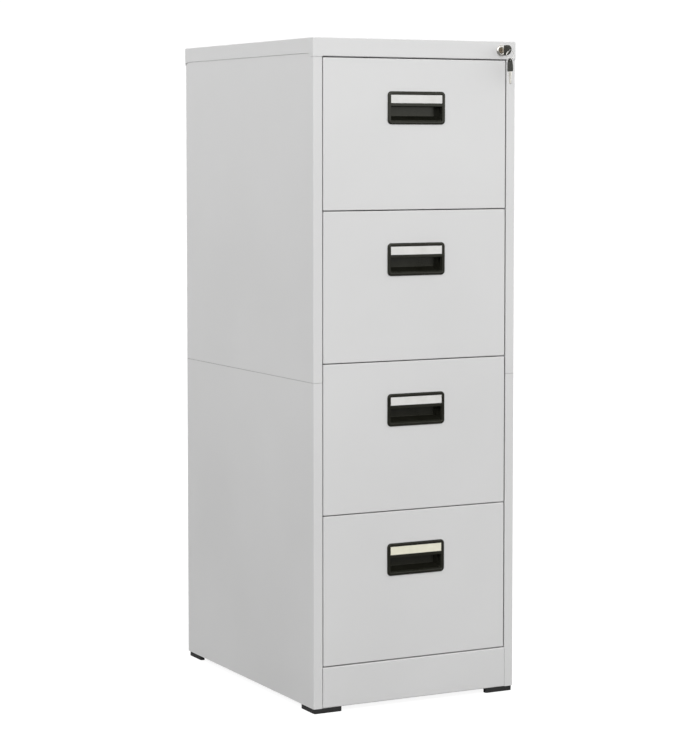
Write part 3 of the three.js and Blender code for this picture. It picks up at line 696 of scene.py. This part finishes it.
def pull_moulding(low, high):
    """One closed skin: out of the pocket, over the rim, and back along the cup's outside."""
    front_y = low.y
    rim_rear_y = front_y + RIM_DEPTH
    recess_y = front_y + RECESS
    plate_y = recess_y + PLATE
    pocket_y = high.y - PULL_WALL
    inner_x = high.x - RIM
    inner_low, inner_high = low.z + RIM, high.z - RIM
    grip_low = inner_high - CARD_HEIGHT - GRIP_HEIGHT
    back_x = inner_x - SIDE_SLOPE
    loops = [
        box_loop(back_x - EASE, inner_low + FLOOR_RISE + EASE, inner_high - 1.5 * MM, 1.2 * MM, pocket_y),
        box_loop(back_x, inner_low + FLOOR_RISE, inner_high - MM, 1.6 * MM, pocket_y - EASE),
        box_loop(inner_x - 1.4 * MM, inner_low + 1.4 * MM, inner_high - 0.5 * MM, 1.6 * MM, plate_y),
        box_loop(inner_x - 1.2 * MM, inner_low + 1.2 * MM, grip_low, 1.2 * MM, plate_y),
        box_loop(inner_x - EASE, inner_low + EASE, grip_low, 1.2 * MM, recess_y + EASE),
        box_loop(inner_x - 0.2 * MM, inner_low + 0.2 * MM, grip_low, 1.2 * MM, recess_y),
        box_loop(inner_x, inner_low, inner_high, RIM_CORNER, recess_y)]
    for angle in QUARTER:
        over = RIM_INNER * (1 - math.cos(angle))
        depth = front_y + min(RIM_INNER, RECESS) * (1 - math.sin(angle))
        loops.append(box_loop(inner_x + over, inner_low - over, inner_high + over, RIM_CORNER + over, depth))
    for angle in QUARTER:
        left = RIM_OUTER * (1 - math.sin(angle))
        depth = front_y + RIM_OUTER * (1 - math.cos(angle))
        loops.append(box_loop(high.x - left, low.z + left, high.z - left, PULL_CORNER - left, depth))
    cup_x = inner_x + PULL_WALL
    cup_low, cup_high = inner_low - PULL_WALL, inner_high + PULL_WALL
    cup_back_x = back_x + PULL_WALL
    cup_floor = inner_low + FLOOR_RISE - PULL_WALL
    loops += [
        box_loop(high.x, low.z, high.z, PULL_CORNER, rim_rear_y),
        box_loop(cup_x, cup_low, cup_high, 2.4 * MM, rim_rear_y),
        box_loop(cup_x, cup_low, cup_high, 2.4 * MM, plate_y),
        box_loop(cup_back_x, cup_floor, cup_high, 2.8 * MM, high.y - EASE),
        box_loop(cup_back_x - EASE, cup_floor + EASE, cup_high - EASE, 2.4 * MM, high.y)]
    return from_loops("pull", loops, True, True), (inner_x, grip_low, front_y + 0.2 * MM, plate_y)


def grip_bar(inner_x, grip_low, y0, y1):
    """The bar that the fingers pull on: a rounded section between the rim's two sides."""
    section = rounded_loop((y1 - y0) / 2, GRIP_HEIGHT / 2, GRIP_CORNER)
    mid_y, mid_z = (y0 + y1) / 2, grip_low + GRIP_HEIGHT / 2
    ends = (-inner_x - GRIP_OVERLAP, inner_x + GRIP_OVERLAP)
    return from_loops("grip_bar", [[(x, mid_y + a, mid_z + b) for a, b in section] for x in ends], True, True)


for number in (1, 2, 3, 4):
    low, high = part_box(f"handle_{number}")
    pull, grip_place = pull_moulding(low, high)
    carve(pull, [grip_bar(*grip_place)], "UNION")
    pull.name = f"pull_{number}"
    coat(pull, PULL_BLACK)
    smooth(pull)
    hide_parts(f"handle_{number}")
    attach(pull, f"drawer_{number}")

# ---- Label cards ----------------------------------------------------------------------------------
# A blank card slid into each pull. It bows very slightly between its ends, and the lowest drawer's
# card has yellowed.

CARD_WHITE = finish(
    "card_white", (0.66, 0.655, 0.635), (0.76, 0.755, 0.74), (0.75, 0.9), 0.00004, (60.0, 1500.0, 2500.0),
    speckle=0.4)
CARD_CREAM = finish(
    "card_cream", (0.76, 0.74, 0.60), (0.86, 0.84, 0.69), (0.75, 0.9), 0.00004, (60.0, 1500.0, 2500.0),
    speckle=0.4)
CARD_BOW, CARD_STOCK = 0.35 * MM, 0.4 * MM


def label_card(number):
    """The card's rear face as a grid, bowed forward in the middle, and thickened to the front."""
    low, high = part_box(f"label_card_{number}")
    across, up = 28, 4
    points, faces = [], []
    for i in range(across + 1):
        for j in range(up + 1):
            share = i / across
            bow = CARD_BOW * math.sin(math.pi * share) ** 2
            points.append((
                low.x + (high.x - low.x) * share, high.y - bow, low.z + (high.z - low.z) * j / up))
    for i in range(across):
        for j in range(up):
            k = i * (up + 1) + j
            faces.append((k, k + up + 1, k + up + 2, k + 1))
    mesh = bpy.data.meshes.new(f"card_{number}")
    mesh.from_pydata(points, [], faces)
    card = add(f"card_{number}", mesh)
    stock = card.modifiers.new("card", "SOLIDIFY")
    stock.thickness = CARD_STOCK
    stock.offset = 1
    return card


for number in (1, 2, 3, 4):
    card = label_card(number)
    coat(card, CARD_CREAM if number == 4 else CARD_WHITE)
    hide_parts(f"label_card_{number}")
    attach(card, f"drawer_{number}")

# ---- Feet -----------------------------------------------------------------------------------------
# Four moulded corner pads: a plate pressed on under the body, with two ribs along its outer edges that
# stand on the floor. The ribs have two fine grooves round them and eased lower edges.

FOOT_BLACK = finish(
    "foot_plastic", (0.010, 0.010, 0.010), (0.018, 0.018, 0.018), (0.5, 0.7), 0.00008, (40.0, 700.0, 900.0),
    speckle=0.3, edge=(1.6, 0.1), width=0.8)
FOOT_ARM, FOOT_PLATE, FOOT_CORNER = 9 * MM, 2.5 * MM, 4 * MM
# From the floor up: how far in the outline is and its height, both in millimetres.
FOOT_TIERS = ((0.7, 0.0), (0.25, 0.25), (0.0, 0.7), (0.0, 2.9), (0.35, 3.1), (0.35, 3.5), (0.0, 3.7),
              (0.0, 5.9), (0.35, 6.1), (0.35, 6.5), (0.0, 6.7), (0.0, 9.3), (0.35, 9.7))

for row, end in (("front", -1), ("rear", 1)):
    for hand, side in (("left", -1), ("right", 1)):
        low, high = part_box(f"foot_{row}_{hand}")
        mid_x, mid_y = (low.x + high.x) / 2, (low.y + high.y) / 2
        half_x, half_y = (high.x - low.x) / 2, (high.y - low.y) / 2
        loops = []
        for drawn_in, z in FOOT_TIERS:
            plan = rounded_loop(half_x - drawn_in * MM, half_y - drawn_in * MM, FOOT_CORNER)
            loops.append([(mid_x + a, mid_y + b, z * MM) for a, b in plan])
        foot = from_loops(f"foot_pad_{row}_{hand}", loops, True, True)
        rib_x, rib_y = mid_x + side * (half_x - FOOT_ARM), mid_y + end * (half_y - FOOT_ARM)
        far_x, far_y = mid_x - side * 2 * half_x, mid_y - end * 2 * half_y
        hollow = bar("hollow", (min(rib_x, far_x), min(rib_y, far_y), -MM),
                     (max(rib_x, far_x), max(rib_y, far_y), high.z - FOOT_PLATE))
        carve(foot, [hollow])
        coat(foot, FOOT_BLACK)
        smooth(foot)
        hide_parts(f"foot_{row}_{hand}")
        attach(foot, "cabinet")

# ---- Slides ---------------------------------------------------------------------------------------
# Three rolled steel members each side of every drawer, bright zinc-plated, with steel balls held in
# thin cages between them. Both cages are carried by the middle member.

for name, node in nodes.items():
    if "rail" in name or name in ("lock_bar", "lock_clip"):
        coat(node, ZINC)
        smooth(node)

BALL_STEEL = finish(
    "ball_steel", (0.60, 0.61, 0.62), (0.72, 0.72, 0.73), (0.08, 0.16), 0.000002, (200.0, 900.0, 900.0),
    metallic=1.0)
BALL_RADIUS, BALL_PITCH, BALLS_PER_ROW = 1.95 * MM, 22 * MM, 11
MEMBER = 1.2 * MM
STRIP_HALF, STRIP_THIN, STRIP_CORNER = 3.2 * MM, 0.45 * MM, 0.3 * MM
ROW_INSET, STRIP_OVERHANG = 12 * MM, 6 * MM


def ball():
    """A sphere as a turned piece, with a single point at each pole."""
    steps = 8
    angles = [math.pi * k / steps for k in range(1, steps)]
    profile = [(BALL_RADIUS * math.sin(a), -BALL_RADIUS * math.cos(a)) for a in angles]
    return turned("ball", [(0.0, -BALL_RADIUS), *profile, (0.0, BALL_RADIUS)], 14)


def cage_strip(x, z, y0, y1):
    """The thin strip that holds one row of balls."""
    section = rounded_loop(STRIP_HALF, STRIP_THIN, STRIP_CORNER, 3)
    return from_loops("strip", [[(x + a, y, z + b) for a, b in section] for y in (y0, y1)], True, True)


for number in (1, 2, 3, 4):
    for side_name, side in (("left", -1), ("right", 1)):
        mid_low, mid_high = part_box(f"mid_rail_{number}_{side_name}")
        out_low, out_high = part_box(f"cabinet_rail_{number}_{side_name}")
        in_low, in_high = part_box(f"drawer_rail_{number}_{side_name}")
        axis_z = (mid_low.z + mid_high.z) / 2
        span = (BALLS_PER_ROW - 1) * BALL_PITCH
        outer_z = ((mid_high.z - mid_low.z) / 2 + (out_high.z - out_low.z) / 2 - MEMBER) / 2
        inner_z = ((in_high.z - in_low.z) / 2 + (mid_high.z - mid_low.z) / 2 - MEMBER) / 2
        outer_x = (mid_low.x + mid_high.x) / 2
        inner_x = (in_low.x + in_high.x) / 2 + side * MEMBER / 2
        rows = (
            (outer_z, outer_x, mid_high.y - span - ROW_INSET),
            (inner_z, inner_x, mid_low.y + ROW_INSET))
        parts = []
        for off_axis, x, start in rows:
            for up in (-1, 1):
                z = axis_z + up * off_axis
                parts.append(cage_strip(x, z, start - STRIP_OVERHANG, start + span + STRIP_OVERHANG))
                for k in range(BALLS_PER_ROW):
                    one = ball()
                    one.location = (x, start + k * BALL_PITCH, z)
                    parts.append(one)
        cage = merged(f"ball_cage_{number}_{side_name}", parts)
        coat(cage, BALL_STEEL)
        smooth(cage)
        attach(cage, f"slide_{number}")

# ---- Rivets in the drawers ------------------------------------------------------------------------
# Four domed rivets each side fix the drawer rail to the tub. Their heads show inside the drawer, painted
# over with it.


RIVET_RADIUS, RIVET_RISE = 3.2 * MM, 1.1 * MM
RIVETS, RIVET_INSET = 4, 40 * MM
RAIL_AIR = 0.3 * MM


def rivet():
    """A low dome on the plane y = 0."""
    angles = [math.pi / 2 * k / 5 for k in range(5)]
    dome = [(RIVET_RADIUS * math.cos(a), RIVET_RISE * math.sin(a)) for a in angles]
    return turned("rivet", [(0.0, 0.0), *dome, (0.0, RIVET_RISE)], 20)


for number in (1, 2, 3, 4):
    rail_low, rail_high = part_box(f"drawer_rail_{number}_right")
    wall_x = rail_low.x - RAIL_AIR - SHEET
    run = rail_high.y - rail_low.y - 2 * RIVET_INSET
    mid_z = (rail_low.z + rail_high.z) / 2
    parts = []
    for side in (-1, 1):
        inward = Matrix.Rotation(side * math.pi / 2, 4, "Z")
        for k in range(RIVETS):
            one = rivet()
            y = rail_low.y + RIVET_INSET + run * k / (RIVETS - 1)
            one.matrix_basis = Matrix.Translation((side * wall_x, y, mid_z)) @ inward
            parts.append(one)
    rivets = merged(f"rivets_{number}", parts)
    coat(rivets, POWDER)
    smooth(rivets)
    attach(rivets, f"drawer_{number}")

# ---- Lock -----------------------------------------------------------------------------------------
# A nickel-plated cam lock. Its stepped bezel sits on the cap's front lip, the duller plug turns inside it
# flush with its face, and the pin behind works the bar. The plug's face has a keyway. The plug's dark
# brown colour is partly its own duller metal and partly painted shade and dark reflection round the keyway.

NICKEL = finish(
    "nickel_plate", (0.60, 0.58, 0.54), (0.76, 0.74, 0.70), (0.14, 0.28), 0.000004, (60.0, 900.0, 900.0),
    metallic=1.0, speckle=0.3, edge=(1.15, 0.05), width=0.4)
# Dark brown plug: partly a duller metal, partly painted shade and dark reflection round the keyway and key.
PLUG_DARK_TONE = finish(
    "plug_dark_with_painted_shade", (0.12, 0.095, 0.065), (0.26, 0.215, 0.16), (0.22, 0.36), 0.00001,
    (120.0, 900.0, 1200.0), metallic=1.0, speckle=0.35, edge=(1.8, 0.08), width=0.3)
# Radius and depth behind the face in millimetres: up the bore, out over the bezel and back along the body.
BARREL_PROFILE = (
    (6.3, 22.5), (6.3, 0.5), (6.5, 0.2), (6.9, 0.0), (8.2, 0.0), (8.5, 0.25), (8.7, 0.45), (9.4, 0.5),
    (10.0, 0.65), (10.5, 1.0), (10.85, 1.5), (11.0, 2.1), (11.0, 2.5), (9.0, 2.5), (9.0, 22.5), (6.3, 22.5))
PLUG_RADIUS, PLUG_DISC, DISC_THICK, DISC_AIR = 6.0 * MM, 8.0 * MM, 2 * MM, 0.3 * MM
PIN_THROW, PIN_RADIUS, PIN_REACH, PIN_EASE = 5 * MM, 2.5 * MM, 7.2 * MM, 0.5 * MM
SLOT_X, SLOT_Z, SLOT_DEPTH = 1.2 * MM, 4.05 * MM, 17.5 * MM

face_y = barrel_low.y
barrel = turned("lock_body", [(r * MM, y * MM) for r, y in BARREL_PROFILE], 64)
barrel.location = (lock_x, face_y, lock_z)
coat(barrel, NICKEL)
smooth(barrel)
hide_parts("lock_barrel")
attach(barrel, "cabinet")


def lock_plug():
    """The plug with its rear disc and drive pin, and the keyway cut into its face."""
    disc_y = barrel_high.y + DISC_AIR - face_y
    plug = turned("plug", [
        (0.0, 0.0), (5.4 * MM, 0.0), (5.8 * MM, 0.15 * MM), (PLUG_RADIUS, 0.5 * MM), (PLUG_RADIUS, disc_y),
        (PLUG_DISC, disc_y), (PLUG_DISC, disc_y + DISC_THICK), (0.0, disc_y + DISC_THICK)], 64)
    offset = PIN_THROW * math.sqrt(0.5)
    pin = turned("pin", [
        (0.0, 0.0), (PIN_RADIUS, 0.0), (PIN_RADIUS, PIN_REACH - PIN_EASE), (PIN_RADIUS - PIN_EASE, PIN_REACH),
        (0.0, PIN_REACH)], 32)
    pin.location = (-offset, disc_y + DISC_THICK / 2, -offset)
    carve(plug, [pin], "UNION")
    keyway = [
        bar("keyway", (-SLOT_X, -MM, -SLOT_Z), (SLOT_X, SLOT_DEPTH, SLOT_Z)),
        bar("ward", (-SLOT_X - 0.7 * MM, -MM, -0.6 * MM), (SLOT_X, 1.2 * MM, 0.6 * MM))]
    carve(plug, keyway)
    return plug


plug = lock_plug()
plug.location = (lock_x, face_y, lock_z)
coat(plug, PLUG_DARK_TONE)
smooth(plug)
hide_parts("lock_plug")
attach(plug, "lock_plug")

# ---- Keys -----------------------------------------------------------------------------------------
# Two alike: a stamped steel blade with a shouldered collar, cut on both edges and grooved, moulded into
# a black-olive plastic head with a ribbed grip and a hole. One is in the lock and one is on the ring.

KEY_BLACK = finish(
    "key_plastic", (0.014, 0.015, 0.009), (0.024, 0.025, 0.016), (0.34, 0.48), 0.00004, (60.0, 900.0, 2000.0),
    speckle=0.35, edge=(1.5, 0.05), width=0.5)
KEY_STEEL = finish(
    "key_steel", (0.72, 0.70, 0.64), (0.86, 0.84, 0.79), (0.28, 0.42), 0.00001, (120.0, 900.0, 1200.0),
    metallic=1.0, speckle=0.4)

HEAD_LENGTH, HEAD_HALF, HEAD_THICK = 26.4 * MM, 10.5 * MM, 2.8 * MM
HEAD_EDGE, HEAD_CORNER, HEAD_TIP = 0.6 * MM, 2.5 * MM, 1.5 * MM
HOLE_REACH, HOLE_RADIUS = 22.3 * MM, 2.8 * MM
RIBS, RIB_PITCH, RIB_MARGIN = 6, 2.5 * MM, 3 * MM
COLLAR, COLLAR_HALF = 9 * MM, 5.5 * MM
BLADE, BLADE_HALF, BLADE_THICK, BLADE_EDGE = 16.5 * MM, 3.75 * MM, 1.8 * MM, 0.15 * MM
CUT_DEPTHS, CUT_PITCH = (1.0, 0.5, 1.3, 0.8), 2.9 * MM
RING_RADIUS, RING_WIRE, RING_SLACK = 8.6 * MM, 0.5 * MM, 0.1 * MM
SPARE_DROP, SPARE_TURN = 1.9 * MM, math.radians(-4)


def curve_mesh(name, curve):
    """The plain mesh that a curve makes."""
    drawn = add(name, curve)
    bpy.context.view_layer.update()
    mesh = bpy.data.meshes.new_from_object(drawn.evaluated_get(bpy.context.evaluated_depsgraph_get()))
    bpy.data.objects.remove(drawn)
    return mesh


def plate(name, outlines, thick, edge):
    """A stamped or moulded plate from closed outlines, the first its edge and the others holes."""
    curve = bpy.data.curves.new(name, "CURVE")
    curve.dimensions = "2D"
    curve.fill_mode = "BOTH"
    curve.extrude = thick / 2 - edge
    curve.bevel_depth = edge
    curve.bevel_resolution = 2
    curve.offset = -edge
    for outline in outlines:
        line = curve.splines.new("POLY")
        line.points.add(len(outline) - 1)
        for point, (a, b) in zip(line.points, outline):
            point.co = (a, b, 0, 1)
        line.use_cyclic_u = True
    mesh = curve_mesh(name, curve)
    build = bmesh.new()
    build.from_mesh(mesh)
    bmesh.ops.remove_doubles(build, verts=build.verts, dist=1e-6)
    bmesh.ops.recalc_face_normals(build, faces=build.faces)
    build.to_mesh(mesh)
    build.free()
    return add(name, mesh)


def key_head():
    """Drawn flat as (reach, width). One long side is straight and the other tapers to the far end."""
    steps = [math.pi / 2 * k / 12 for k in range(13)]
    outline = [(1.0 * MM, -HEAD_HALF), (0.3 * MM, -HEAD_HALF + 0.3 * MM), (0.0, -HEAD_HALF + 1.0 * MM)]
    outline += [
        (HEAD_CORNER * (1 - math.cos(t)), HEAD_HALF - HEAD_CORNER * (1 - math.sin(t))) for t in steps[::3]]
    for start, t in [(13 * MM, math.pi / 2 - t) for t in steps] + [(7 * MM, -t) for t in steps[1:]]:
        height = HEAD_HALF - HEAD_TIP if t > 0 else HEAD_HALF + HEAD_TIP
        outline.append((start + (HEAD_LENGTH - start) * math.cos(t), HEAD_TIP + height * math.sin(t)))
    around = [math.tau * k / 24 for k in range(24)]
    hole = [(HOLE_REACH + HOLE_RADIUS * math.cos(a), HOLE_RADIUS * math.sin(a)) for a in around]
    head = plate("head", [outline, hole], HEAD_THICK, HEAD_EDGE)
    tang = bar("tang", (-MM, -SLOT_Z, -1.0 * MM), (COLLAR + 0.3 * MM, SLOT_Z, 1.0 * MM))
    carve(head, [tang])
    parts = [head]
    half = HEAD_HALF - RIB_MARGIN
    ends = ((-half, 0.25), (-half + 0.5 * MM, 0.8), (-half + 1.2 * MM, 1.0),
            (half - 1.2 * MM, 1.0), (half - 0.5 * MM, 0.8), (half, 0.25))
    section = rounded_loop(0.75 * MM, 0.42 * MM, 0.38 * MM, 3)
    for face in (-1, 1):
        for k in range(RIBS):
            reach = RIB_MARGIN + RIB_PITCH * k
            loops = [[(reach + a * s, w, face * HEAD_THICK / 2 + b * s) for a, b in section] for w, s in ends]
            parts.append(from_loops("rib", loops, True, True))
    return merged("key_head_form", parts)


def key_blade():
    """The blade with its collar, two rows of cuts and a groove along each face."""
    half, tip = BLADE_HALF, -COLLAR - BLADE
    edge = [(9 * MM, half), (-0.3 * MM, half), (-0.3 * MM, COLLAR_HALF), (-COLLAR + 0.4 * MM, COLLAR_HALF),
            (-COLLAR, COLLAR_HALF - 0.4 * MM), (-COLLAR, half)]
    cut = -COLLAR - 2.5 * MM
    for depth in CUT_DEPTHS:
        edge += [(cut, half), (cut - 0.9 * MM, half - depth * MM), (cut - 1.5 * MM, half - depth * MM),
                 (cut - 2.4 * MM, half)]
        cut -= CUT_PITCH
    edge += [(tip + 2.0 * MM, half - 0.3 * MM), (tip, 0.9 * MM)]
    outline = edge + [(a, -b) for a, b in reversed(edge)]
    blade = plate("blade", [outline], BLADE_THICK, BLADE_EDGE)
    grooves = [
        bar("groove", (tip - MM, 0.4 * MM, z0), (-COLLAR + MM, 1.4 * MM, z1))
        for z0, z1 in ((0.5 * MM, 2 * MM), (-2 * MM, -0.5 * MM))]
    carve(blade, grooves)
    return blade


# Flat drawing to key: reach runs along the key, width is up, thickness is across.
shoulder_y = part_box("key_head")[1].y
to_lock = Matrix(((0, 0, 1, lock_x), (-1, 0, 0, shoulder_y), (0, 1, 0, lock_z), (0, 0, 0, 1)))
key_pieces = [
    (key_head(), KEY_BLACK, "key_plastic", "key_head", "key_grip"),
    (key_blade(), KEY_STEEL, "nickel", "key_blade", "key_bit")]
ring_low, ring_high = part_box("key_ring")
ring_y = (ring_low.y + ring_high.y) / 2
ring_mid_z = ring_high.z - RING_SLACK - RING_WIRE - RING_RADIUS
spare_hole_z = ring_mid_z - RING_RADIUS - SPARE_DROP
upright = Matrix(((0, 0, 1, 0), (0, 1, 0, 0), (1, 0, 0, 0), (0, 0, 0, 1)))
hang = Matrix.Rotation(SPARE_TURN, 4, "Z") @ upright
to_ring = Matrix.Translation((lock_x, ring_y, spare_hole_z - HOLE_REACH)) @ hang
for form, paint, slot_name, node_name, name in key_pieces:
    for title, place, body in ((name, to_lock, "key"), (f"spare_{name}", to_ring, "key_ring")):
        mesh = form.data.copy()
        mesh.transform(place)
        if place.determinant() < 0:
            mesh.flip_normals()
        piece = add(title, mesh)
        coat(piece, paint)
        smooth(piece)
        if body == "key":
            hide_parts(node_name)
        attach(piece, body)
    bpy.data.objects.remove(form)

# ---- Key ring -------------------------------------------------------------------------------------
# A small split ring: spring wire wound nearly twice round, its ends lying side by side.

RING_STEEL = finish(
    "ring_steel", (0.72, 0.71, 0.68), (0.84, 0.83, 0.80), (0.16, 0.28), 0.000002, (200.0, 900.0, 900.0),
    metallic=1.0, speckle=0.3, edge=(1.05, 0.02), width=0.2)
RING_TURNS, RING_START, RING_POINTS = 1.85, 0.6, 90


def split_ring():
    """The wire as a flat coil about Y whose two turns lie against each other."""
    curve = bpy.data.curves.new("ring", "CURVE")
    curve.dimensions = "3D"
    curve.bevel_depth = RING_WIRE
    curve.bevel_resolution = 3
    curve.use_fill_caps = True
    line = curve.splines.new("POLY")
    line.points.add(RING_POINTS - 1)
    for k, point in enumerate(line.points):
        share = k / (RING_POINTS - 1)
        angle = math.tau * RING_TURNS * share + RING_START
        x = lock_x + RING_RADIUS * math.cos(angle)
        y = ring_y + (share - 0.5) * 2 * RING_WIRE
        z = ring_mid_z + RING_RADIUS * math.sin(angle)
        point.co = (x, y, z, 1)
    return add("split_ring", curve_mesh("ring", curve))


ring = split_ring()
coat(ring, RING_STEEL)
smooth(ring)
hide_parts("key_ring")
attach(ring, "key_ring")
